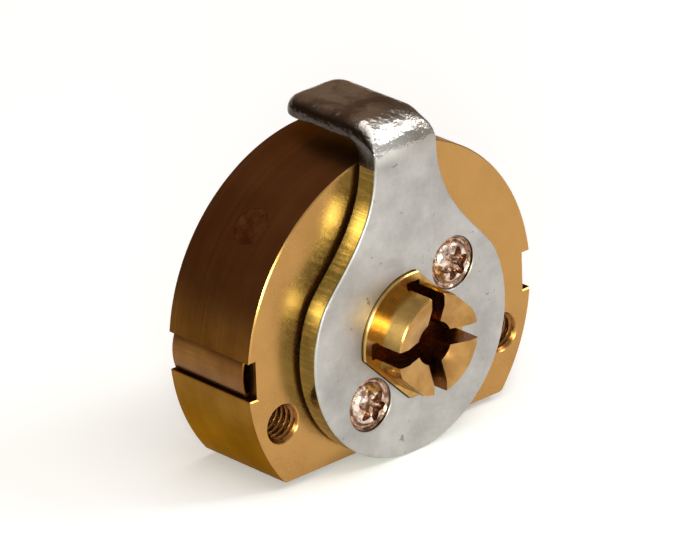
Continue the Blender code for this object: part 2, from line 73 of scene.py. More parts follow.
HOUSING_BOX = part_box("housing")
ROTOR_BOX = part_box("rotor")
CAM_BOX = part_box("cam")
STRIP_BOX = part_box("cover_strip_right")
STOP_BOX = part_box("stop_pin")
JOINTS = {joint["name"]: joint for joint in frame["joints"]}
AXIS_HEIGHT = JOINTS["plug_turn"]["pos_m"][2]
LOCK = Matrix.Translation((0, 0, AXIS_HEIGHT)) @ Matrix.Rotation(math.pi / 2, 4, "X")

# Sizes that the CAD nodes give
BODY_RADIUS = HOUSING_BOX[1].z - AXIS_HEIGHT
CAM_SIDE = -HOUSING_BOX[0].y
KEY_SIDE = -HOUSING_BOX[1].y
BASE = HOUSING_BOX[0].z - AXIS_HEIGHT
ROTOR_RADIUS = (ROTOR_BOX[1].x - ROTOR_BOX[0].x) / 2
BOSS_FRONT = -ROTOR_BOX[0].y
ROTOR_BACK = -ROTOR_BOX[1].y
CAM_FRONT = -CAM_BOX[0].y
TAB_END = -CAM_BOX[1].y
CAM_RADIUS = (CAM_BOX[1].x - CAM_BOX[0].x) / 2
TAB_OUTER = CAM_BOX[1].z - AXIS_HEIGHT
STRIP_CROWN = STRIP_BOX[1].x
STRIP_HALF_WIDTH = (STRIP_BOX[1].z - STRIP_BOX[0].z) / 2
STRIP_FRONT = -STRIP_BOX[0].y
STRIP_BACK = -STRIP_BOX[1].y
STOP_PLACE = -(STOP_BOX[0].y + STOP_BOX[1].y) / 2

# Housing
RIM_CHAMFER = 0.00013
BORE_CHAMFER = 0.0001
BASE_CORNER = 0.00025
BORE_GAP = 0.00005
GROOVE_HALF_WIDTH = 0.00195
GROOVE_FLOOR = BODY_RADIUS - 0.00105
HOLE_X = 0.014396
HOLE_Y = -0.0055
THREAD_PITCH = 0.0007
THREAD_MAJOR = 0.002
THREAD_MINOR = 0.00162
THREAD_COUNTERSINK = 0.00205
THREAD_ROWS = 14  # to each turn
THREAD_ROOT = 0.06  # shares of the pitch: half the flat root, then one flank
THREAD_FLANK = 0.32
STRIP_THICKNESS = 0.0003
STRIP_RISE = 0.00036
STRIP_LIFT = 0.00003
STRIP_EDGE = 0.0001

# Rotor
COLLAR_RADIUS = 0.0065
COLLAR_FLAT = 0.00505
COLLAR_ANGLE = math.radians(45)
COLLAR_PROUD = 0.0004
PLUG_FRONT = CAM_SIDE + 0.0002
BOSS_RADIUS = 0.00515
BOSS_CHAMFER = 0.00014
BOSS_FLAT = 0.0048
BOSS_DISH_RADIUS = 0.00405
BOSS_DISH_DEPTH = 0.00068
BOSS_BORE_RADIUS = 0.0022
BOSS_BORE_DEPTH = 0.0068
BOSS_BORE_TIP = 0.0008
ROTOR_EDGE = 0.00012
FACED_DEPTH = 0.0003
TURNED_DEPTH = 0.0005
SLOT_HALF_WIDTH = 0.000825
SLOT_REACH = 0.0056
SLOT_DEPTH = 0.0053
KEYWAY_HALF_WIDTH = 0.00115
KEYWAY_HALF_HEIGHT = 0.00425
KEYWAY_END = 0.0043
KEYWAY_FLARE = 0.00035

# Cam
CAM_GAP = 0.0004
CAM_BACK = CAM_SIDE + CAM_GAP
TAB_THICKNESS = 0.0019
TAB_INNER = TAB_OUTER - TAB_THICKNESS
TAB_HALF_WIDTH = 0.004
TAB_CORNER = 0.0022
FLANK_ANGLE = math.radians(25)
FLANK_PULL = 0.003
NECK_PULL = 0.007
OUTER_BEND = 0.0036
INNER_BEND = 0.0013
BEND_START = TAB_OUTER - OUTER_BEND
BEND_LENGTH = 0.0047
EDGE_GROWS = (BEND_START + 0.0006, BEND_START + 0.0034)
EDGE_SHARE = 0.78
PLATE_ROUNDING = 0.00028
TAB_ROUNDING = 0.0017
BACK_ROUNDING = 0.00018
DARK_BELOW = 0.0003
DARK_BEHIND = 0.0009
HOLE_CLEARANCE = 0.00007

# Screws, stop pin, pins and springs
SCREW_RADIUS = 0.0026
SCREW_DOME = 0.0004
SCREW_TOP_RADIUS = 0.00222
SCREW_RIM_DROP = 0.00042
SCREW_EDGE = 0.0002
SCREW_SHANK = 0.0014
SCREW_LENGTH = 0.0056
SCREW_GAP = 0.0001
SCREW_HOLE_TIP = 0.0005
SCREW_TIP_CHAMFER = 0.0002
SCREW_RIM_IN = 0.0001
SCREW_RIM_EDGE = 0.00004
STAR_RADIUS = 0.00146
STAR_LOBE = 0.00036
STAR_DEPTH = 0.0008
STAR_DIP = 0.0002
STAR_LIP = 0.0001
STOP_ANGLE = math.radians(135)
STOP_RADIUS = 0.0019
STOP_GAP = 0.00002
STOP_TIP_RADIUS = 0.0012
STOP_TIP_GAP = 0.0001
STOP_TIP_REACH = 0.001
STOP_GROOVE_HALF = 0.0013
STOP_GROOVE_DEPTH = 0.0011
PIN_RADIUS = 0.0008
PIN_TIP_RADIUS = 0.0005
PIN_CHAMBER_RADIUS = 0.00085
PIN_WAIST = 0.00068
PIN_WIRE = 0.00012
PIN_EDGE = 0.00006
PIN_SEAT = 0.00075
PIN_TIP_GAP = 0.00005
PIN_TIP_LENGTH = 0.0003
PIN_TIP_CONE = 0.00028
PIN_TIP_NOSE = 0.0001
PIN_WAIST_STEP = 0.00004
PIN_SIDES = 40
CHAMBER_SIDES = 32
SPRING_TURNS = 5
SPRING_GAP = 0.00012
SPRING_STEPS = 28  # to each turn

OVERCUT = 0.001
ROUND = 256
FINE = 64
SHARP_ANGLE = math.radians(32)


# Mesh helpers

def closed_mesh(name, points, faces):
    mesh = bpy.data.meshes.new(name)
    mesh.from_pydata([tuple(p) for p in points], [], faces)
    shape = bmesh.new()
    shape.from_mesh(mesh)
    bmesh.ops.recalc_face_normals(shape, faces=shape.faces)
    shape.to_mesh(mesh)
    shape.free()
    return mesh


def without_repeats(indices):
    """A face's corners in order, where some of them may be the same point."""
    return tuple(dict.fromkeys(indices))


def stacked_rings(name, rings):
    """A closed solid through rings that all have the same number of points."""
    count = len(rings[0])
    points = [p for ring in rings for p in ring]
    faces = []
    for row in range(len(rings) - 1):
        for i in range(count):
            j = (i + 1) % count
            low = row * count
            high = low + count
            faces.append((low + i, low + j, high + j, high + i))
    faces.append(tuple(reversed(range(count))))
    faces.append(tuple(range(len(points) - count, len(points))))
    return closed_mesh(name, points, faces)


def lathe(name, profile, segments=FINE):
    """A solid turned about z from (radius, height) points, whose ends are on the axis."""
    points = []
    rows = []
    for radius, height in profile:
        start = len(points)
        if radius == 0:
            points.append((0, 0, height))
            rows.append([start] * segments)
            continue
        for i in range(segments):
            turn = 2 * math.pi * i / segments
            points.append((radius * math.cos(turn), radius * math.sin(turn), height))
        rows.append(list(range(start, start + segments)))
    faces = []
    for upper, lower in zip(rows, rows[1:]):
        for i in range(segments):
            j = (i + 1) % segments
            faces.append(without_repeats((upper[i], upper[j], lower[j], lower[i])))
    return closed_mesh(name, points, faces)


def arc(radius, start, stop, steps, centre=(0, 0)):
    angles = np.linspace(start, stop, steps + 1)
    return [
        (centre[0] + radius * math.cos(a), centre[1] + radius * math.sin(a))
        for a in angles
    ]


def inset(outline, distance):
    """The outline, listed anticlockwise, moved inwards by this distance."""
    points = np.array(outline, float)
    edge = np.roll(points, -1, 0) - points
    edge /= np.linalg.norm(edge, axis=1)[:, None]
    after = np.stack([edge[:, 1], -edge[:, 0]], 1)
    before = np.roll(after, 1, 0)
    mitre = (before + after) / (1 + (before * after).sum(1))[:, None]
    return points - distance * mitre


def bevelled_prism(name, outline, low, high, chamfer):
    rings = []
    levels = ((chamfer, low), (0, low + chamfer), (0, high - chamfer), (chamfer, high))
    for distance, z in levels:
        ring = inset(outline, distance)
        rings.append([(x, y, z) for x, y in ring])
    return stacked_rings(name, rings)


def box_mesh(name, low, high):
    outline = [(low[0], low[1]), (high[0], low[1]), (high[0], high[1]), (low[0], high[1])]
    rings = [[(x, y, z) for x, y in outline] for z in (low[2], high[2])]
    return stacked_rings(name, rings)


def along(direction, origin=(0, 0, 0)):
    turn = Vector((0, 0, 1)).rotation_difference(Vector(direction))
    return Matrix.Translation(origin) @ turn.to_matrix().to_4x4()


def carve(mesh, cutters):
    """The mesh with each cutter mesh taken out of it."""
    target = bpy.data.objects.new(mesh.name, mesh)
    bpy.context.scene.collection.objects.link(target)
    tools = []
    for cutter in cutters:
        tool = bpy.data.objects.new(cutter.name, cutter)
        bpy.context.scene.collection.objects.link(tool)
        boolean = target.modifiers.new(cutter.name, "BOOLEAN")
        boolean.operation = "DIFFERENCE"
        boolean.solver = "EXACT"
        boolean.object = tool
        tools.append(tool)
    bpy.context.view_layer.update()
    graph = bpy.context.evaluated_depsgraph_get()
    result = bpy.data.meshes.new_from_object(target.evaluated_get(graph))
    for obj in [target, *tools]:
        data = obj.data
        bpy.data.objects.remove(obj, do_unlink=True)
        bpy.data.meshes.remove(data)
    shape = bmesh.new()
    shape.from_mesh(result)
    bmesh.ops.remove_doubles(shape, verts=shape.verts, dist=1e-7)
    bmesh.ops.dissolve_degenerate(shape, edges=shape.edges, dist=1e-7)
    shape.to_mesh(result)
    shape.free()
    return result


def moved(mesh, matrix):
    mesh.transform(matrix)
    return mesh


def add_piece(name, mesh, finishes, body, nodes, chooses=None, place=None):
    """Puts a mesh on a CAD body, in place of these nodes.

    chooses(centre, normal) gives the index of each face's finish, and place takes
    the mesh from where it was drawn to the lock's frame.
    """
    mesh.name = name
    for finish in finishes:
        mesh.materials.append(finish)
    if chooses:
        for face in mesh.polygons:
            face.material_index = chooses(face.center, face.normal)
    mesh.transform(LOCK @ place if place else LOCK)
    mesh.shade_smooth()
    mesh.set_sharp_from_angle(angle=SHARP_ANGLE)
    piece = bpy.data.objects.new(name, mesh)
    bpy.context.scene.collection.objects.link(piece)
    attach(piece, body)
    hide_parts(*nodes)
    return piece


# Node helpers

class Nodes:
    """A material's node tree, with short calls for what the finishes below use."""

    def __init__(self, name):
        self.material = bpy.data.materials.new(name)
        self.material.use_nodes = True
        self.tree = self.material.node_tree
        self.shader = self.tree.nodes["Principled BSDF"]
        self.object = self.add("ShaderNodeTexCoord").outputs["Object"]

    def add(self, kind, **values):
        node = self.tree.nodes.new(kind)
        for key, value in values.items():
            setattr(node, key, value)
        return node

    def link(self, output, target):
        self.tree.links.new(output, target)

    def put(self, socket, value):
        if isinstance(value, bpy.types.NodeSocket):
            self.link(value, socket)
        else:
            socket.default_value = value

    def stretched(self, scale):
        """Object coordinates in lock-frame order, scaled by (x, y up, z along axis)."""
        mapping = self.add("ShaderNodeMapping")
        self.link(self.object, mapping.inputs["Vector"])
        mapping.inputs["Scale"].default_value = (scale[0], scale[2], scale[1])
        return mapping.outputs["Vector"]

    def noise(self, scale, stretch=(1, 1, 1), detail=4.0, rough=0.55, distortion=0.0):
        texture = self.add("ShaderNodeTexNoise")
        self.link(self.stretched(stretch), texture.inputs["Vector"])
        texture.inputs["Scale"].default_value = scale
        texture.inputs["Detail"].default_value = detail
        texture.inputs["Roughness"].default_value = rough
        texture.inputs["Distortion"].default_value = distortion
        return texture.outputs["Fac"]

    def math(self, operation, first, second=0.0):
        node = self.add("ShaderNodeMath", operation=operation)
        self.put(node.inputs[0], first)
        self.put(node.inputs[1], second)
        return node.outputs[0]

    def spread(self, value, low, high, to_low, to_high, smooth=False):
        """value from low..high taken to to_low..to_high, held at both ends."""
        node = self.add("ShaderNodeMapRange")
        if smooth:
            node.interpolation_type = "SMOOTHSTEP"
        self.put(node.inputs["Value"], value)
        node.inputs["From Min"].default_value = low
        node.inputs["From Max"].default_value = high
        node.inputs["To Min"].default_value = to_low
        node.inputs["To Max"].default_value = to_high
        return node.outputs["Result"]

    def mix(self, amount, first, second):
        node = self.add("ShaderNodeMix", data_type="RGBA")
        colours = [s for s in node.inputs if s.type == "RGBA"]
        self.put(node.inputs[0], amount)
        self.put(colours[0], first)
        self.put(colours[1], second)
        return next(s for s in node.outputs if s.type == "RGBA")

    def bump(self, height, strength, distance, below=None):
        node = self.add("ShaderNodeBump")
        node.inputs["Strength"].default_value = strength
        node.inputs["Distance"].default_value = distance
        self.put(node.inputs["Height"], height)
        if below is not None:
            self.link(below, node.inputs["Normal"])
        return node.outputs["Normal"]

    def across_axis(self):
        """(distance from the lock's axis, x, height above the axis, place along it)."""
        split = self.add("ShaderNodeSeparateXYZ")
        self.link(self.object, split.inputs[0])
        x, along_axis, z = split.outputs
        up = self.math("SUBTRACT", z, AXIS_HEIGHT)
        flat = self.math("MULTIPLY", x, x)
        square = self.math("MULTIPLY", up, up)
        radius = self.math("SQRT", self.math("ADD", flat, square))
        return radius, x, up, along_axis

    def facing(self):
        """The three parts of the surface's own direction, in the row frame."""
        split = self.add("ShaderNodeSeparateXYZ")
        normal = self.add("ShaderNodeTexCoord").outputs["Normal"]
        self.link(normal, split.inputs[0])
        return split.outputs

    def finish(self, colour, roughness, normal=None, metallic=1.0, glancing=None):
        self.put(self.shader.inputs["Base Color"], colour)
        self.put(self.shader.inputs["Roughness"], roughness)
        self.put(self.shader.inputs["Metallic"], metallic)
        if normal is not None:
            self.link(normal, self.shader.inputs["Normal"])
        if glancing:
            self.shader.inputs["Specular Tint"].default_value = glancing
        return self.material


def rgb(red, green, blue):
    return (red, green, blue, 1.0)


# The tint of brass seen at a grazing angle
BRASS_GLANCING = rgb(0.85, 0.58, 0.30)


def faced_brass():
    """The end faces of housing and rotor: satin, with faint facing rings and stains."""
    n = Nodes("faced_brass")
    radius, _, _, _ = n.across_axis()
    stain = n.noise(150, detail=6, rough=0.6)
    speck = n.noise(2600, detail=3, rough=0.7)
    rings = n.add("ShaderNodeTexNoise", noise_dimensions="1D")
    n.link(n.math("MULTIPLY", radius, 5200.0), rings.inputs["W"])
    rings.inputs["Scale"].default_value = 1.0
    rings.inputs["Detail"].default_value = 3.0
    clean = rgb(0.46, 0.250, 0.078)
    base = n.mix(n.spread(stain, 0.4, 0.72, 0, 1), clean, rgb(0.39, 0.203, 0.060))
    colour = n.mix(n.spread(speck, 0.68, 0.76, 0, 0.5), base, rgb(0.25, 0.12, 0.035))
    both = n.math("ADD", stain, n.math("MULTIPLY", speck, 0.5))
    rough = n.spread(both, 0.5, 1.1, 0.22, 0.32)
    height = n.math("ADD", n.math("MULTIPLY", rings.outputs["Fac"], 0.6), speck)
    return n.finish(colour, rough, n.bump(height, 0.10, 0.00002))


def turned_brass():
    """The housing's circumference: browned, and darker from the top down towards the groove as
    painted shade, with fine tool lines round it.
    """
    n = Nodes("turned_brass")
    _, _, up, _ = n.across_axis()
    lines = n.noise(1, stretch=(25, 25, 6500), detail=4, rough=0.65)
    bands = n.noise(1, stretch=(30, 30, 700), detail=4, rough=0.6)
    cloud = n.noise(120, detail=6, rough=0.62)
    tone = n.math("ADD", n.math("MULTIPLY", bands, 0.3), n.math("MULTIPLY", cloud, 0.7))
    share = n.spread(tone, 0.36, 0.64, 0, 1)
    # Painted shade: the circumference darkens by height from the top down towards the groove,
    # standing in for the dark room its sides reflect; below the groove it is lighter again
    upper = n.mix(share, rgb(0.21, 0.085, 0.030), rgb(0.31, 0.135, 0.052))
    middle_shade = n.mix(share, rgb(0.080, 0.031, 0.007), rgb(0.150, 0.063, 0.015))
    lower = n.mix(share, rgb(0.16, 0.078, 0.020), rgb(0.29, 0.150, 0.040))
    colour = n.mix(n.spread(up, 0.0035, 0.0115, 1, 0, smooth=True), upper, middle_shade)
    colour = n.mix(n.spread(up, -0.0022, -0.0019, 1, 0), colour, lower)
    colour = n.mix(n.spread(lines, 0.54, 0.78, 0, 0.3), colour, rgb(0.34, 0.17, 0.06))
    rough = n.spread(lines, 0.3, 0.7, 0.27, 0.38)
    return n.finish(colour, rough, n.bump(lines, 0.16, 0.00002), glancing=BRASS_GLANCING)


def strip_brass():
    """Drawn strip, with lines along its length."""
    n = Nodes("strip_brass")
    lines = n.noise(1, stretch=(3800, 3800, 60), detail=3, rough=0.6)
    cloud = n.noise(220, detail=4)
    share = n.spread(cloud, 0.35, 0.65, 0, 1)
    colour = n.mix(share, rgb(0.15, 0.060, 0.012), rgb(0.22, 0.098, 0.021))
    colour = n.mix(n.spread(lines, 0.55, 0.7, 0, 0.4), colour, rgb(0.15, 0.06, 0.016))
    rough = n.spread(lines, 0.3, 0.7, 0.24, 0.36)
    return n.finish(colour, rough, n.bump(lines, 0.15, 0.00001))


def rotor_brass():
    """Turned brass with faint rings and soft handling marks."""
    n = Nodes("rotor_brass")
    rings = n.noise(1, stretch=(90, 90, 3600), detail=3, rough=0.6)
    marks = n.noise(900, stretch=(1, 1, 0.4), detail=5, rough=0.6)
    share = n.spread(marks, 0.35, 0.7, 0, 1)
    colour = n.mix(share, rgb(0.50, 0.318, 0.108), rgb(0.33, 0.195, 0.060))
    both = n.math("ADD", rings, marks)
    rough = n.spread(both, 0.7, 1.3, 0.17, 0.30)
    return n.finish(colour, rough, n.bump(both, 0.12, 0.00002), glancing=BRASS_GLANCING)


def boss_face():
    """The boss's front: browner than its side, and smooth enough for a streak of light."""
    n = Nodes("boss_face")
    cloud = n.noise(420, detail=5, rough=0.6)
    grain = n.noise(3000, detail=3)
    share = n.spread(cloud, 0.38, 0.64, 0, 1)
    colour = n.mix(share, rgb(0.47, 0.262, 0.086), rgb(0.33, 0.168, 0.050))
    return n.finish(colour, n.spread(cloud, 0.3, 0.7, 0.17, 0.25), n.bump(grain, 0.1, 0.00002))


def milled_brass():
    """Slots, bores and threads: a darker brown than the rest, painted shade for these recesses,
    with cutter marks.
    """
    n = Nodes("milled_brass")
    marks = n.noise(1, stretch=(700, 700, 2600), detail=4, rough=0.6)
    cloud = n.noise(500, detail=4)
    share = n.spread(cloud, 0.35, 0.66, 0, 1)
    # Dark brown: painted shade for the slots, bores and threads
    colour = n.mix(share, rgb(0.26, 0.105, 0.028), rgb(0.21, 0.082, 0.022))
    rough = n.spread(marks, 0.3, 0.7, 0.22, 0.34)
    return n.finish(colour, rough, n.bump(marks, 0.12, 0.00002))


def pin_finish(name, bright, dull):
    n = Nodes(name)
    rings = n.noise(1, stretch=(3000, 400, 400), detail=3)
    cloud = n.noise(900, detail=4)
    colour = n.mix(n.spread(cloud, 0.35, 0.7, 0, 1), bright, dull)
    rough = n.spread(cloud, 0.3, 0.7, 0.22, 0.36)
    return n.finish(colour, rough, n.bump(rings, 0.12, 0.00001))


def zinc_face():
    """The cam's faces: matt zinc with dark specks, burnished at the bend, with a painted highlight
    across the bend that darkens to painted shade on its right, brown blotches on the tab, and
    painted shade on the sides and underside of the bend and tab.
    """
    n = Nodes("zinc_face")
    _, x, up, along_axis = n.across_axis()
    cloud = n.noise(190, detail=6, rough=0.62)
    grain = n.noise(5200, detail=2, rough=0.6)
    pits = n.noise(1000, detail=3, rough=0.5)
    smear = n.noise(260, stretch=(1, 3.0, 1), detail=6, rough=0.65, distortion=0.5)
    blotch = n.noise(140, stretch=(1, 1, 1.5), detail=5, rough=0.6, distortion=0.6)
    share = n.spread(cloud, 0.35, 0.68, 0, 1)
    base = n.mix(share, rgb(0.51, 0.492, 0.472), rgb(0.35, 0.337, 0.320))
    colour = n.mix(n.spread(smear, 0.58, 0.78, 0, 0.5), base, rgb(0.30, 0.29, 0.275))
    colour = n.mix(n.spread(pits, 0.70, 0.75, 0, 0.6), colour, rgb(0.14, 0.12, 0.10))
    bent = n.spread(up, 0.0180, 0.0198, 0, 1, smooth=True)
    tab = n.spread(along_axis, -0.0072, -0.0036, 0, 1, smooth=True)
    # Painted highlight on the left of the bend, fading to painted shade on its right
    rightwards = n.spread(x, -0.0016, 0.0016, 0, 1)
    bend_painted_light = n.mix(rightwards, rgb(0.66, 0.64, 0.60), rgb(0.34, 0.31, 0.275))
    blotched = n.spread(blotch, 0.42, 0.60, 0, 1)
    scuffed = n.mix(blotched, rgb(0.74, 0.67, 0.60), rgb(0.30, 0.235, 0.19))
    colour = n.mix(bent, colour, bend_painted_light)
    colour = n.mix(n.math("MULTIPLY", bent, tab), colour, scuffed)
    # Painted shade: the sides and underside of the bend and tab are darkened, standing in for the
    # dark gap they face and the shade under the tab
    sideways, backwards, upwards = n.facing()
    rim = n.math("MAXIMUM", n.math("ABSOLUTE", sideways), backwards)
    side = n.math("MULTIPLY", n.spread(rim, 0.35, 0.8, 0, 1), n.spread(upwards, -0.5, -0.2, 0, 1))
    painted_shade = n.math("MAXIMUM", side, n.spread(upwards, -0.97, -0.9, 1, 0))
    colour = n.mix(n.math("MULTIPLY", bent, painted_shade), colour, rgb(0.070, 0.056, 0.046))
    matt = n.spread(n.math("ADD", cloud, grain), 0.7, 1.3, 0.40, 0.52)
    polish = n.spread(smear, 0.3, 0.7, 0.17, 0.28)
    rough = n.math("ADD", matt, n.math("MULTIPLY", bent, n.math("SUBTRACT", polish, matt)))
    fine = n.bump(grain, 0.14, 0.00002)
    dents = n.math("MULTIPLY", n.noise(620, detail=4), n.spread(bent, 0, 1, 0.08, 1.0))
    return n.finish(colour, rough, n.bump(dents, 0.9, 0.00032, fine))


def zinc_edge():
    """The cam's sheared edges: yellow-green, partly a painted reflection of the brass face, over
    lines across the thickness.
    """
    n = Nodes("zinc_edge")
    lines = n.noise(1, stretch=(3000, 3000, 130), detail=4, rough=0.7)
    cloud = n.noise(260, detail=4)
    share = n.spread(cloud, 0.35, 0.65, 0, 1)
    # The yellow-green tint is partly a painted reflection of the brass face next to the edges
    base = n.mix(share, rgb(0.34, 0.37, 0.24), rgb(0.22, 0.235, 0.15))
    colour = n.mix(n.spread(lines, 0.5, 0.72, 0, 0.5), base, rgb(0.80, 0.81, 0.62))
    rough = n.spread(lines, 0.3, 0.7, 0.13, 0.22)
    return n.finish(colour, rough, n.bump(lines, 0.5, 0.00004))


def bend_side():
    """The sheared side of the bend, painted dark as shade, standing in for the dark gap that it
    faces.
    """
    n = Nodes("bend_side")
    cloud = n.noise(900, detail=5, rough=0.6)
    share = n.spread(cloud, 0.35, 0.65, 0, 1)
    colour = n.mix(share, rgb(0.050, 0.046, 0.040), rgb(0.13, 0.12, 0.105))
    return n.finish(colour, n.spread(cloud, 0.3, 0.7, 0.2, 0.34), n.bump(cloud, 0.3, 0.00004))


def screw_finish(name, bright, dull):
    """The cam screws' nickel: blotched, and pitted by the tool."""
    n = Nodes(name)
    cloud = n.noise(1500, detail=5, rough=0.65)
    grain = n.noise(2600, detail=3)
    colour = n.mix(n.spread(cloud, 0.44, 0.58, 0, 1), bright, dull)
    rough = n.spread(cloud, 0.3, 0.7, 0.14, 0.28)
    return n.finish(colour, rough, n.bump(grain, 0.7, 0.00006))


FACED_BRASS = faced_brass()
TURNED_BRASS = turned_brass()
STRIP_BRASS = strip_brass()
ROTOR_BRASS = rotor_brass()
MILLED_BRASS = milled_brass()
BOSS_FACE = boss_face()
ZINC_FACE = zinc_face()
ZINC_EDGE = zinc_edge()
BEND_SIDE_SHADE = bend_side()
SCREW_NICKEL = screw_finish("screw_nickel", rgb(0.80, 0.67, 0.59), rgb(0.36, 0.215, 0.145))
# Dark brown for the star recess and sunk rim: grime there, and painted shade
SCREW_GRIME_AND_SHADE = screw_finish("screw_stain", rgb(0.56, 0.37, 0.27), rgb(0.19, 0.105, 0.068))
PIN_BRASS = pin_finish("pin_brass", rgb(0.72, 0.50, 0.20), rgb(0.60, 0.38, 0.13))
PRESSED_BRASS = pin_finish("pressed_brass", rgb(0.23, 0.086, 0.030), rgb(0.36, 0.155, 0.058))
PIN_STEEL = pin_finish("pin_steel", rgb(0.62, 0.62, 0.63), rgb(0.50, 0.50, 0.51))


# Housing

def housing_outline():
    """The housing's end view, anticlockwise from the right base corner."""
    corner = math.asin(-BASE / BODY_RADIUS)
    groove = math.asin(GROOVE_HALF_WIDTH / BODY_RADIUS)
    right = arc(BODY_RADIUS, -corner, -groove, 40)
    right += [(GROOVE_FLOOR, -GROOVE_HALF_WIDTH), (GROOVE_FLOOR, GROOVE_HALF_WIDTH)]
    top = arc(BODY_RADIUS, groove, math.pi - groove, 128)
    left = [(-x, y) for x, y in reversed(right)]
    points = right + top + left
    return round_corners(points, (0, len(points) - 1), BASE_CORNER)


def round_corners(points, corners, size):
    """Each of these corners, replaced by a small arc that starts size away from it."""
    result = []
    for index, point in enumerate(points):
        if index not in corners:
            result.append(point)
            continue
        here = Vector(point)
        before = (Vector(points[index - 1]) - here).normalized() * size
        after = (Vector(points[(index + 1) % len(points)]) - here).normalized() * size
        for step in range(5):
            t = step / 4
            bend = here + before * (1 - t) ** 2 + after * t**2
            result.append((bend.x, bend.y))
    return result


def hole_cutter(name, radius, low, high, chamfer, segments):
    """A round hole's cutter, flared at both ends so that it leaves a chamfer."""
    wide = radius + chamfer + OVERCUT
    profile = [
        (0, high + OVERCUT),
        (wide, high + OVERCUT),
        (radius, high - chamfer),
        (radius, low + chamfer),
        (wide, low - OVERCUT),
        (0, low - OVERCUT),
    ]
    return lathe(name, profile, segments)


def cylinder(name, radius, low, high, segments=FINE):
    return lathe(name, [(0, high), (radius, high), (radius, low), (0, low)], segments)


def thread_cutter(name, x):
    """An M4 thread's space, countersunk at both ends, as one helical surface."""
    steps = 48
    low = KEY_SIDE - OVERCUT / 4
    high = CAM_SIDE + OVERCUT / 4
    rows = int((high - low) / THREAD_PITCH * THREAD_ROWS)
    rings = []
    for row in range(rows + 1):
        z = low + (high - low) * row / rows
        end = min(z - KEY_SIDE, CAM_SIDE - z)
        ring = []
        for step in range(steps):
            turn = 2 * math.pi * step / steps
            phase = (z / THREAD_PITCH - step / steps) % 1
            away = abs(phase - 0.5)
            share = min(max((away - THREAD_ROOT) / THREAD_FLANK, 0), 1)
            radius = THREAD_MAJOR + (THREAD_MINOR - THREAD_MAJOR) * share
            radius = max(radius, THREAD_COUNTERSINK - end)
            ring.append((x + radius * math.cos(turn), HOLE_Y + radius * math.sin(turn), z))
        rings.append(ring)
    return stacked_rings(name, rings)


def pin_lines():
    """(side, label, number, place along the axis) of each line of pins."""
    lines = []
    for side, label in ((-1, "left"), (1, "right")):
        for number in (1, 2, 3, 4):
            low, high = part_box(f"driver_pin_{label}_{number}")
            lines.append((side, label, number, -(low.y + high.y) / 2))
    return lines


def build_housing():
    blank = bevelled_prism("housing", housing_outline(), KEY_SIDE, CAM_SIDE, RIM_CHAMFER)
    bore = ROTOR_RADIUS + BORE_GAP
    cutters = [hole_cutter("bore", bore, KEY_SIDE, CAM_SIDE, BORE_CHAMFER, ROUND)]
    inside = ROTOR_RADIUS - OVERCUT
    outside = BODY_RADIUS + OVERCUT
    for side, label, number, place in pin_lines():
        name = f"chamber_{label}_{number}"
        chamber = cylinder(name, PIN_CHAMBER_RADIUS, inside, outside, CHAMBER_SIDES)
        cutters.append(moved(chamber, along((side, 0, 0), (0, 0, place))))
    seat = cylinder("stop_seat", STOP_RADIUS + STOP_GAP, inside, outside)
    cutters.append(moved(seat, stop_placing()))
    cutters.append(thread_cutter("thread_left", -HOLE_X))
    cutters.append(thread_cutter("thread_right", HOLE_X))
    mesh = carve(blank, cutters)
    finishes = [FACED_BRASS, TURNED_BRASS, MILLED_BRASS]
    add_piece("housing_body", mesh, finishes, "case", ["housing"], housing_finish)


def housing_finish(centre, normal):
    """0 for the end faces and rims, 1 for the circumference, 2 for holes and bore."""
    if abs(centre.z) > CAM_SIDE - RIM_CHAMFER * 0.75 and abs(normal.z) > 0.3:
        return 0
    radius = math.hypot(centre.x, centre.y)
    if radius > GROOVE_FLOOR - OVERCUT / 5 or centre.y < BASE + RIM_CHAMFER:
        return 1
    return 2


def strip_outline():
    """The right strip's end view, anticlockwise: a shallow arch on two legs."""
    radius = (STRIP_HALF_WIDTH**2 + STRIP_RISE**2) / (2 * STRIP_RISE)
    centre = (STRIP_CROWN - radius, 0)
    inside = STRIP_HALF_WIDTH - STRIP_THICKNESS
    inner_radius = radius - STRIP_THICKNESS
    half = math.asin(STRIP_HALF_WIDTH / radius)
    inner_half = math.asin(inside / inner_radius)
    foot = GROOVE_FLOOR + STRIP_LIFT
    outline = [(foot, -STRIP_HALF_WIDTH)]
    outline += arc(radius, -half, half, 28, centre)
    outline += [(foot, STRIP_HALF_WIDTH), (foot, inside)]
    outline += arc(inner_radius, inner_half, -inner_half, 28, centre)
    outline.append((foot, -inside))
    return outline


def build_strips():
    for turn, label in ((0, "right"), (math.pi, "left")):
        mesh = bevelled_prism("strip", strip_outline(), STRIP_BACK, STRIP_FRONT, STRIP_EDGE)
        mesh = moved(mesh, Matrix.Rotation(turn, 4, "Z"))
        nodes = [f"cover_strip_{label}"]
        add_piece(f"side_strip_{label}", mesh, [STRIP_BRASS], "case", nodes)


def stop_placing():
    return along((math.cos(STOP_ANGLE), math.sin(STOP_ANGLE), 0), (0, 0, STOP_PLACE))


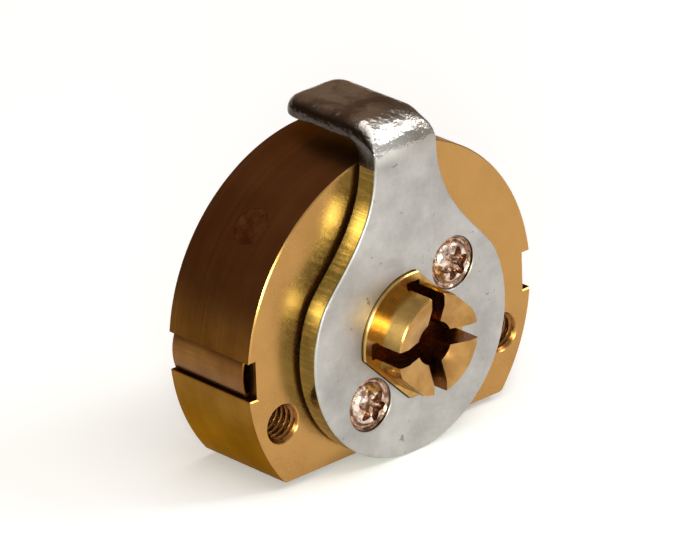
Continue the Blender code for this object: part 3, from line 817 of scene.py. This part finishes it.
def build_stop_pin():
    """A round pin, dressed flush with the circumference after it was pressed in."""
    shoulder = ROTOR_RADIUS + BORE_GAP + STOP_TIP_GAP
    tip = ROTOR_RADIUS - STOP_GROOVE_DEPTH + STOP_TIP_GAP
    top = BODY_RADIUS
    profile = [(0, top)]
    profile += [(STOP_RADIUS * step / 8, top) for step in range(1, 9)]
    profile += [
        (STOP_RADIUS, shoulder + PIN_EDGE),
        (STOP_RADIUS - PIN_EDGE, shoulder),
        (STOP_TIP_RADIUS, shoulder),
        (STOP_TIP_RADIUS, tip + PIN_EDGE),
        (STOP_TIP_RADIUS - PIN_EDGE, tip),
        (0, tip),
    ]
    mesh = lathe("stop", profile)
    mesh.transform(stop_placing())
    flush = BODY_RADIUS - STOP_GAP
    out = Vector((math.cos(STOP_ANGLE), math.sin(STOP_ANGLE), 0))
    tangent = Vector((-out.y, out.x, 0))
    for vertex in mesh.vertices:
        if vertex.co.dot(out) > top - PIN_EDGE:
            across = vertex.co.dot(tangent)
            drop = top - math.sqrt(flush**2 - across**2)
            vertex.co -= drop * out
    add_piece("stop_pin_flush", mesh, [PRESSED_BRASS], "case", ["stop_pin"])


# Rotor

def rotor_profile():
    bore_end = BOSS_FRONT - BOSS_BORE_DEPTH
    collar_front = CAM_FRONT + COLLAR_PROUD
    return [
        (0, bore_end - BOSS_BORE_TIP),
        (BOSS_BORE_RADIUS, bore_end),
        (BOSS_BORE_RADIUS, BOSS_FRONT - BOSS_DISH_DEPTH),
        (BOSS_DISH_RADIUS, BOSS_FRONT),
        (BOSS_RADIUS - BOSS_CHAMFER, BOSS_FRONT),
        (BOSS_RADIUS, BOSS_FRONT - BOSS_CHAMFER),
        (BOSS_RADIUS, collar_front),
        (COLLAR_RADIUS - ROTOR_EDGE, collar_front),
        (COLLAR_RADIUS, collar_front - ROTOR_EDGE),
        (COLLAR_RADIUS, PLUG_FRONT),
        (ROTOR_RADIUS - ROTOR_EDGE, PLUG_FRONT),
        (ROTOR_RADIUS, PLUG_FRONT - ROTOR_EDGE),
        (ROTOR_RADIUS, ROTOR_BACK + ROTOR_EDGE * 2),
        (ROTOR_RADIUS - ROTOR_EDGE * 2, ROTOR_BACK),
        (0, ROTOR_BACK),
    ]


def collar_and_boss_cutters():
    """The flats of the collar and boss, then the boss's cross slot."""
    cutters = []
    reach = COLLAR_RADIUS + OVERCUT
    top = BOSS_FRONT + OVERCUT
    for flat, foot in ((COLLAR_FLAT, PLUG_FRONT), (BOSS_FLAT, CAM_FRONT + COLLAR_PROUD)):
        for side in (0, math.pi):
            block = box_mesh("flat", (flat, -reach, foot), (reach, reach, top))
            cutters.append(moved(block, Matrix.Rotation(COLLAR_ANGLE + side, 4, "Z")))
    low = BOSS_FRONT - SLOT_DEPTH
    for half_x, half_y in ((SLOT_REACH, SLOT_HALF_WIDTH), (SLOT_HALF_WIDTH, SLOT_REACH)):
        cutters.append(box_mesh("slot", (-half_x, -half_y, low), (half_x, half_y, top)))
    return cutters


def screw_hole_cutter(number):
    radius = SCREW_SHANK + SCREW_GAP
    end = CAM_FRONT - SCREW_LENGTH
    top = PLUG_FRONT + OVERCUT
    hole = lathe("screw_hole", [(0, top), (radius, top), (radius, end), (0, end - SCREW_HOLE_TIP)])
    return moved(hole, screw_placing(number))


def pin_hole_cutter(name, side, place):
    """A pin's chamber, whose narrow end lets the tip into the keyway."""
    seat = KEYWAY_HALF_WIDTH + PIN_SEAT
    tip = PIN_TIP_RADIUS + PIN_TIP_GAP
    profile = [
        (0, ROTOR_RADIUS + OVERCUT),
        (PIN_CHAMBER_RADIUS, ROTOR_RADIUS + OVERCUT),
        (PIN_CHAMBER_RADIUS, seat),
        (tip, seat),
        (tip, KEYWAY_HALF_WIDTH / 2),
        (0, KEYWAY_HALF_WIDTH / 2),
    ]
    return moved(lathe(name, profile, CHAMBER_SIDES), along((side, 0, 0), (0, 0, place)))


def build_rotor():
    cutters = collar_and_boss_cutters()
    cutters.append(keyway_cutter())
    cutters += [screw_hole_cutter(number) for number in (1, 2)]
    for side, label, number, place in pin_lines():
        cutters.append(pin_hole_cutter(f"pin_hole_{label}_{number}", side, place))
    cutters.append(stop_groove_cutter())
    mesh = carve(lathe("rotor", rotor_profile(), ROUND), cutters)
    finishes = [ROTOR_BRASS, MILLED_BRASS, BOSS_FACE, FACED_BRASS]
    add_piece("rotor_plug", mesh, finishes, "plug", ["rotor"], rotor_finish)


def rotor_finish(centre, normal):
    """0 where turned, 1 where milled or drilled, 2 on the boss's front, 3 on the key side."""
    radius = math.hypot(centre.x, centre.y)
    if centre.z < PLUG_FRONT:
        if centre.z < ROTOR_BACK + FACED_DEPTH:
            return 3
        return 0 if radius > ROTOR_RADIUS - TURNED_DEPTH else 1
    if centre.z > BOSS_FRONT - BOSS_DISH_DEPTH * 1.01 and normal.z > 0.3:
        return 2
    slant = abs(centre.x + centre.y) / math.sqrt(2)
    outwards = normal.x * centre.x + normal.y * centre.y > radius * 0.8
    on_outside = radius > BOSS_RADIUS - BOSS_CHAMFER and (outwards or normal.z > 0.3)
    return 0 if on_outside or slant > BOSS_FLAT - BOSS_CHAMFER else 1


def keyway_cutter():
    """The keyway, with a flared mouth on the key side."""
    rings = []
    for grow, z in (
        (KEYWAY_FLARE + OVERCUT, ROTOR_BACK - OVERCUT),
        (0, ROTOR_BACK + KEYWAY_FLARE),
        (0, KEYWAY_END),
    ):
        x = KEYWAY_HALF_WIDTH + grow
        y = KEYWAY_HALF_HEIGHT + grow
        rings.append([(-x, -y, z), (x, -y, z), (x, y, z), (-x, y, z)])
    return stacked_rings("keyway", rings)


def stop_groove_cutter():
    """The quarter-turn groove that the stop pin's tip runs in."""
    end = math.asin(STOP_GROOVE_HALF / (ROTOR_RADIUS - STOP_TIP_REACH))
    start = STOP_ANGLE - math.pi / 2 - end
    stop = STOP_ANGLE + end
    outline = arc(ROTOR_RADIUS + OVERCUT, start, stop, 48)
    outline += arc(ROTOR_RADIUS - STOP_GROOVE_DEPTH, stop, start, 48)
    heights = (STOP_PLACE - STOP_GROOVE_HALF, STOP_PLACE + STOP_GROOVE_HALF)
    return stacked_rings("stop_groove", [[(x, y, z) for x, y in outline] for z in heights])


# Cam

def smooth_step(value, low, high):
    t = min(max((value - low) / (high - low), 0), 1)
    return t * t * (3 - 2 * t)


def cam_half_outline():
    """(x, distance along the strip) up the cam's right side, from bottom to tab end."""
    points = arc(CAM_RADIUS, -math.pi / 2, FLANK_ANGLE, 96)
    foot = Vector(points[-1])
    neck = Vector((TAB_HALF_WIDTH, BEND_START))
    leave = foot + FLANK_PULL * Vector((-math.sin(FLANK_ANGLE), math.cos(FLANK_ANGLE)))
    arrive = neck - NECK_PULL * Vector((0, 1))
    for step in range(1, 41):
        t = step / 40
        point = (
            (1 - t) ** 3 * foot
            + 3 * t * (1 - t) ** 2 * leave
            + 3 * t**2 * (1 - t) * arrive
            + t**3 * neck
        )
        points.append((point.x, point.y))
    for step in range(1, 25):
        points.append((TAB_HALF_WIDTH, BEND_START + BEND_LENGTH * step / 24))
    tab_start = BEND_START + BEND_LENGTH
    end = tab_start + (CAM_FRONT - OUTER_BEND - TAB_END)
    straight = end - TAB_CORNER
    for step in range(1, 13):
        points.append((TAB_HALF_WIDTH, tab_start + (straight - tab_start) * step / 12))
    centre = (TAB_HALF_WIDTH - TAB_CORNER, straight)
    points += arc(TAB_CORNER, 0, math.pi / 2, 20, centre)[1:]
    points.append(((TAB_HALF_WIDTH - TAB_CORNER) / 2, end))
    points.append((0, end))
    return points


def bent(x, s, share):
    """The place of a point of the flat strip: share is 0 at its back and 1 at its front."""
    t = min(max((s - BEND_START) / BEND_LENGTH, 0), 1)
    beyond = max(s - BEND_START - BEND_LENGTH, 0)
    if t == 0:
        front = Vector((s, CAM_FRONT))
        back = Vector((s, CAM_BACK))
    else:
        angle = math.pi / 2 * t
        up = math.sin(angle)
        forward = 1 - math.cos(angle)
        front = Vector((BEND_START + OUTER_BEND * up, CAM_FRONT - OUTER_BEND * forward - beyond))
        start = TAB_INNER - INNER_BEND
        start -= (start - BEND_START) * (1 - t) ** 2
        reach = (CAM_BACK - CAM_FRONT + OUTER_BEND) * forward
        back = Vector((start + INNER_BEND * up, CAM_BACK - reach - beyond))
    y, z = back + (front - back) * share
    return x, y, z


def thickness_at(s):
    t = min(max((s - BEND_START) / BEND_LENGTH, 0), 1)
    return (CAM_FRONT - CAM_BACK) * (1 - t) + TAB_THICKNESS * t


def cam_edge(s):
    """(inset, share of the thickness) pairs from the back face to the front face."""
    grow = smooth_step(s, *EDGE_GROWS)
    front = PLATE_ROUNDING + (TAB_ROUNDING - PLATE_ROUNDING) * grow
    thick = thickness_at(s)
    drop = min(front, EDGE_SHARE * thick)
    pairs = []
    for step in range(4):
        angle = math.pi / 2 * step / 3
        back = 1 - math.sin(angle), 1 - math.cos(angle)
        pairs.append((BACK_ROUNDING * back[0], BACK_ROUNDING * back[1]))
    for step in range(11):
        angle = math.pi / 2 * step / 10
        pairs.append((front * (1 - math.cos(angle)), thick - drop + drop * math.sin(angle)))
    return [(distance, height / thick) for distance, height in pairs]


def cam_blank():
    half = cam_half_outline()
    outline = half + [(-x, s) for x, s in reversed(half[1:-1])]
    count = len(outline)
    edges = [cam_edge(s) for _, s in outline]
    unit = np.array(outline) - inset(outline, 1.0)
    unit /= np.linalg.norm(unit, axis=1)[:, None]
    points = []
    for level in range(len(edges[0])):
        for (x, s), way, edge in zip(outline, unit, edges):
            distance, share = edge[level]
            points.append(bent(x - way[0] * distance, s - way[1] * distance, share))
    faces = []
    for level in range(len(edges[0]) - 1):
        low = level * count
        for i in range(count):
            j = (i + 1) % count
            faces.append((low + i, low + j, low + count + j, low + count + i))
    for base in (0, (len(edges[0]) - 1) * count):
        for i in range(len(half) - 1):
            across = ((count - i - 1) % count, (count - i) % count)
            ring = (base + i, base + i + 1, base + across[0], base + across[1])
            faces.append(without_repeats(ring))
    return closed_mesh("cam", points, faces)


def double_d_cutter():
    """The hole that the rotor's collar passes through."""
    radius = COLLAR_RADIUS + HOLE_CLEARANCE
    flat = COLLAR_FLAT + HOLE_CLEARANCE
    half = math.acos(flat / radius)
    outline = []
    for side in (0, math.pi):
        start = COLLAR_ANGLE + side + half
        outline += arc(radius, start, COLLAR_ANGLE + side + math.pi - half, 48)
    heights = (CAM_BACK - OVERCUT, CAM_FRONT + OVERCUT)
    return stacked_rings("double_d", [[(x, y, z) for x, y in outline] for z in heights])


def sink_cutter(number):
    """The countersunk hole of one cam screw, with its top edge broken."""
    head = SCREW_RADIUS + SCREW_GAP
    shank = SCREW_SHANK + SCREW_GAP
    seat = CAM_FRONT - SCREW_EDGE - SCREW_GAP
    edge = 0.00006
    profile = [
        (0, CAM_FRONT + OVERCUT),
        (head + edge + OVERCUT, CAM_FRONT + OVERCUT),
        (head, CAM_FRONT - edge),
        (head, seat),
        (shank, seat - (head - shank)),
        (shank, CAM_BACK - OVERCUT),
        (0, CAM_BACK - OVERCUT),
    ]
    return moved(lathe("sink", profile), screw_placing(number))


def build_cam():
    mesh = carve(cam_blank(), [double_d_cutter(), sink_cutter(1), sink_cutter(2)])
    finishes = [ZINC_FACE, ZINC_EDGE, BEND_SIDE_SHADE]
    add_piece("cam_plate", mesh, finishes, "plug", ["cam"], cam_finish)


def cam_finish(centre, normal):
    """1 for the plate's sheared side, 2 for that of the bend, which is painted dark as shade, and
    0 for the rest.
    """
    outside = math.hypot(centre.x, centre.y) > COLLAR_RADIUS + OVERCUT
    if outside and centre.y < BEND_START - DARK_BELOW and abs(normal.z) < 0.35:
        return 1
    # Painted shade on the sides of the bend, near its back
    at_bend = centre.y > BEND_START - DARK_BELOW and centre.z > CAM_BACK - DARK_BEHIND
    return 2 if at_bend and abs(normal.x) > 0.9 else 0


# Screws

def screw_placing(number):
    low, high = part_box(f"cam_screw_{number}")
    return Matrix.Translation(((low.x + high.x) / 2, (low.z + high.z) / 2 - AXIS_HEIGHT, 0))


def star_cutter():
    """A six-lobe recess that narrows towards its floor."""
    top = CAM_FRONT + SCREW_DOME
    floor = top - STAR_DEPTH
    rings = []
    for scale, z in ((0.55, floor - STAR_DIP), (0.86, floor), (1.06, top + OVERCUT / 2)):
        ring = []
        for step in range(72):
            turn = 2 * math.pi * step / 72
            radius = scale * (STAR_RADIUS + STAR_LOBE * math.cos(6 * turn))
            ring.append((radius * math.cos(turn), radius * math.sin(turn), z))
        rings.append(ring)
    return stacked_rings("star", rings)


def screw_rise(radius):
    """The height of a screw head's dome above the cam, this far from its centre."""
    return SCREW_DOME - (SCREW_DOME + SCREW_RIM_DROP) * (radius / SCREW_TOP_RADIUS) ** 5


def screw_profile():
    edge = CAM_FRONT - SCREW_EDGE
    end = CAM_FRONT - SCREW_LENGTH
    profile = []
    for step in range(15):
        radius = SCREW_TOP_RADIUS * step / 14
        profile.append((radius, CAM_FRONT + screw_rise(radius)))
    return profile + [
        (SCREW_RADIUS - SCREW_RIM_IN, CAM_FRONT - SCREW_RIM_DROP),
        (SCREW_RADIUS - SCREW_RIM_EDGE, edge),
        (SCREW_RADIUS, edge),
        (SCREW_SHANK, edge - (SCREW_RADIUS - SCREW_SHANK)),
        (SCREW_SHANK, end + SCREW_TIP_CHAMFER),
        (SCREW_SHANK - SCREW_TIP_CHAMFER, end),
        (0, end),
    ]


def head_finish(centre, _normal):
    """1 for the recess and the sunk rim of a screw head, painted dark as grime and shade, and 0
    for its dome.
    """
    radius = math.hypot(centre.x, centre.y)
    if radius > SCREW_TOP_RADIUS:
        return 1
    return 1 if centre.z < CAM_FRONT + screw_rise(radius) - STAR_LIP else 0


def build_screws():
    for number, turn in ((1, 0.2), (2, 0.75)):
        mesh = carve(lathe("screw", screw_profile(), 96), [star_cutter()])
        place = screw_placing(number) @ Matrix.Rotation(turn, 4, "Z")
        add_piece(
            f"head_screw_{number}",
            mesh,
            [SCREW_NICKEL, SCREW_GRIME_AND_SHADE],
            "plug",
            [f"cam_screw_{number}"],
            head_finish,
            place,
        )


# Pins and springs

def pin_span(node, side):
    """(inner end, outer end) of a pin or spring, as distances from the lock's axis."""
    low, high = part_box(node)
    return sorted((side * low.x, side * high.x))


def travel(joint):
    """How far a sliding joint goes from rest, in metres."""
    return JOINTS[joint]["range_m"][1]


def key_pin_mesh(inner, outer):
    clear = KEYWAY_HALF_WIDTH + PIN_SEAT + travel("key_pin_left_1_slide") + PIN_EDGE
    shoulder = max(clear, inner + PIN_TIP_LENGTH)
    profile = [
        (0, outer),
        (PIN_RADIUS - PIN_EDGE, outer),
        (PIN_RADIUS, outer - PIN_EDGE),
        (PIN_RADIUS, shoulder + PIN_EDGE),
        (PIN_RADIUS - PIN_EDGE, shoulder),
        (PIN_TIP_RADIUS, shoulder),
        (PIN_TIP_RADIUS, inner + PIN_TIP_CONE),
        (PIN_TIP_RADIUS * 0.8, inner + PIN_TIP_NOSE),
        (PIN_TIP_RADIUS * 0.4, inner),
        (0, inner),
    ]
    return lathe("key_pin", profile, PIN_SIDES)


def driver_mesh(inner, outer):
    rim = (outer - inner) / 4
    profile = [
        (0, outer),
        (PIN_RADIUS - PIN_EDGE, outer),
        (PIN_RADIUS, outer - PIN_EDGE),
        (PIN_RADIUS, outer - rim),
        (PIN_WAIST, outer - rim - PIN_WAIST_STEP),
        (PIN_WAIST, inner + rim + PIN_WAIST_STEP),
        (PIN_RADIUS, inner + rim),
        (PIN_RADIUS, inner + PIN_EDGE),
        (PIN_RADIUS - PIN_EDGE, inner),
        (0, inner),
    ]
    return lathe("driver", profile, PIN_SIDES)


def spring_mesh(inner, outer):
    """An open helix of round wire, as one swept tube."""
    coil = PIN_CHAMBER_RADIUS - SPRING_GAP - PIN_WIRE
    steps = SPRING_TURNS * SPRING_STEPS
    axis = Vector((0, 0, 1))
    around = 10
    low = inner + PIN_WIRE
    high = outer - PIN_WIRE
    rings = []
    for step in range(steps + 1):
        t = step / steps
        turn = 2 * math.pi * SPRING_TURNS * t
        out = Vector((math.cos(turn), math.sin(turn), 0))
        centre = coil * out + Vector((0, 0, low + (high - low) * t))
        ring = []
        for index in range(around):
            angle = 2 * math.pi * index / around
            ring.append(centre + PIN_WIRE * (math.cos(angle) * out + math.sin(angle) * axis))
        rings.append(ring)
    return stacked_rings("spring", rings)


def build_pins():
    for side, label, number, place in pin_lines():
        line = f"{label}_{number}"
        placing = along((side, 0, 0), (0, 0, place))
        makers = (
            ("key_pin", key_pin_mesh, PIN_BRASS, f"key_pin_{line}", "pin_brass"),
            ("driver_pin", driver_mesh, PIN_STEEL, f"driver_pin_{line}", "pin_steel"),
            ("spring", spring_mesh, PIN_STEEL, "case", "pin_steel"),
        )
        for kind, make, finish, body, slot in makers:
            node = f"{kind}_{line}"
            inner, outer = pin_span(node, side)
            mesh = moved(make(inner, outer), placing)
            piece = add_piece(f"fine_{node}", mesh, [finish], body, [node])
            if kind == "spring":
                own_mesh(piece)


# Floor, lights and camera

def build_floor():
    size = 3.0
    height = min(CAD_BOUNDS[0].z, 0)
    corners = [(x * size, y * size, height) for x, y in ((-1, -1), (1, -1), (1, 1), (-1, 1))]
    mesh = bpy.data.meshes.new("floor")
    mesh.from_pydata(corners, [], [(0, 1, 2, 3)])
    floor = bpy.data.objects.new("floor", mesh)
    bpy.context.scene.collection.objects.link(floor)
    n = Nodes("floor_paper")
    cloud = n.noise(6, detail=3)
    n.finish(n.mix(cloud, rgb(0.90, 0.90, 0.90), rgb(0.93, 0.93, 0.93)), 0.85, metallic=0.0)
    n.shader.inputs["Emission Color"].default_value = rgb(1.0, 1.0, 1.0)
    n.shader.inputs["Emission Strength"].default_value = 0.22
    mesh.materials.append(n.material)


def add_light(name, direction, distance, size, strength, colour=(1, 1, 1)):
    """A square area light that looks at the object, with strength as its radiance."""
    data = bpy.data.lights.new(name, "AREA")
    data.shape = "RECTANGLE"
    data.size = size
    data.size_y = size
    data.energy = strength * math.pi * data.size * data.size_y
    data.color = colour
    light = bpy.data.objects.new(name, data)
    target = (CAD_BOUNDS[0] + CAD_BOUNDS[1]) / 2
    way = Vector(direction).normalized()
    light.location = target + way * distance
    light.rotation_mode = "QUATERNION"
    light.rotation_quaternion = way.to_track_quat("Z", "Y")
    bpy.context.scene.collection.objects.link(light)


def build_world():
    """A pale studio in front of the lock and a dim brown room behind it."""
    world = bpy.data.worlds.new("studio")
    bpy.context.scene.world = world
    world.use_nodes = True
    tree = world.node_tree
    background = tree.nodes["Background"]
    coordinates = tree.nodes.new("ShaderNodeTexCoord")
    facing = tree.nodes.new("ShaderNodeVectorMath")
    facing.operation = "DOT_PRODUCT"
    facing.inputs[1].default_value = (-0.15, 0.95, 0.28)
    ramp = tree.nodes.new("ShaderNodeValToRGB")
    shift = tree.nodes.new("ShaderNodeMapRange")
    shift.inputs["From Min"].default_value = -1.0
    shift.inputs["From Max"].default_value = 1.0
    front, back = ramp.color_ramp.elements
    front.position = 0.42
    front.color = rgb(0.58, 0.575, 0.565)
    back.position = 0.66
    back.color = rgb(0.16, 0.105, 0.068)
    tree.links.new(coordinates.outputs["Generated"], facing.inputs[0])
    tree.links.new(facing.outputs["Value"], shift.inputs["Value"])
    tree.links.new(shift.outputs["Result"], ramp.inputs["Fac"])
    seen = tree.nodes.new("ShaderNodeLightPath")
    mix = tree.nodes.new("ShaderNodeMix")
    mix.data_type = "RGBA"
    tree.links.new(seen.outputs["Is Camera Ray"], mix.inputs[0])
    colours = [s for s in mix.inputs if s.type == "RGBA"]
    tree.links.new(ramp.outputs["Color"], colours[0])
    colours[1].default_value = rgb(0.96, 0.96, 0.96)
    result = next(s for s in mix.outputs if s.type == "RGBA")
    tree.links.new(result, background.inputs["Color"])


def build_lights():
    add_light("key", (0.62, -0.42, 0.66), 0.55, 0.17, 8.0)
    add_light("left_front", (-0.66, -0.68, 0.32), 0.6, 0.17, 24.0, (0.96, 1.0, 0.86))
    add_light("front_low", (0.185, -0.98, 0.06), 0.6, 0.10, 6.0)
    add_light("overhead", (0.0, -0.1, 1.0), 0.9, 0.9, 1.5)


def build_camera():
    """A long lens, seen from the cam side, from the left and above."""
    azimuth = math.radians(42.11)
    elevation = math.radians(24.06)
    roll = math.radians(-1.905)
    distance = 0.7205
    aside = -0.00403
    above = 0.00436
    flat = math.cos(elevation)
    look = Vector((math.sin(azimuth) * flat, math.cos(azimuth) * flat, -math.sin(elevation)))
    level = Vector((math.cos(azimuth), -math.sin(azimuth), 0))
    upright = level.cross(look)
    right = level * math.cos(roll) + upright * math.sin(roll)
    up = upright * math.cos(roll) - level * math.sin(roll)
    target = Vector((0, HOUSING_BOX[0].y, AXIS_HEIGHT))
    data = bpy.data.cameras.new("camera")
    data.sensor_width = 36.0
    data.lens = 387.18
    data.clip_start = 0.01
    data.clip_end = 20.0
    camera = bpy.data.objects.new("camera", data)
    turn = Matrix((right, up, -look)).transposed().to_4x4()
    place = target - look * distance + right * aside + up * above
    camera.matrix_world = Matrix.Translation(place) @ turn
    bpy.context.scene.collection.objects.link(camera)
    bpy.context.scene.camera = camera


build_housing()
build_strips()
build_stop_pin()
build_rotor()
build_cam()
build_screws()
build_pins()
build_floor()
build_world()
build_lights()
build_camera()
bpy.context.scene.view_settings.view_transform = "Standard"
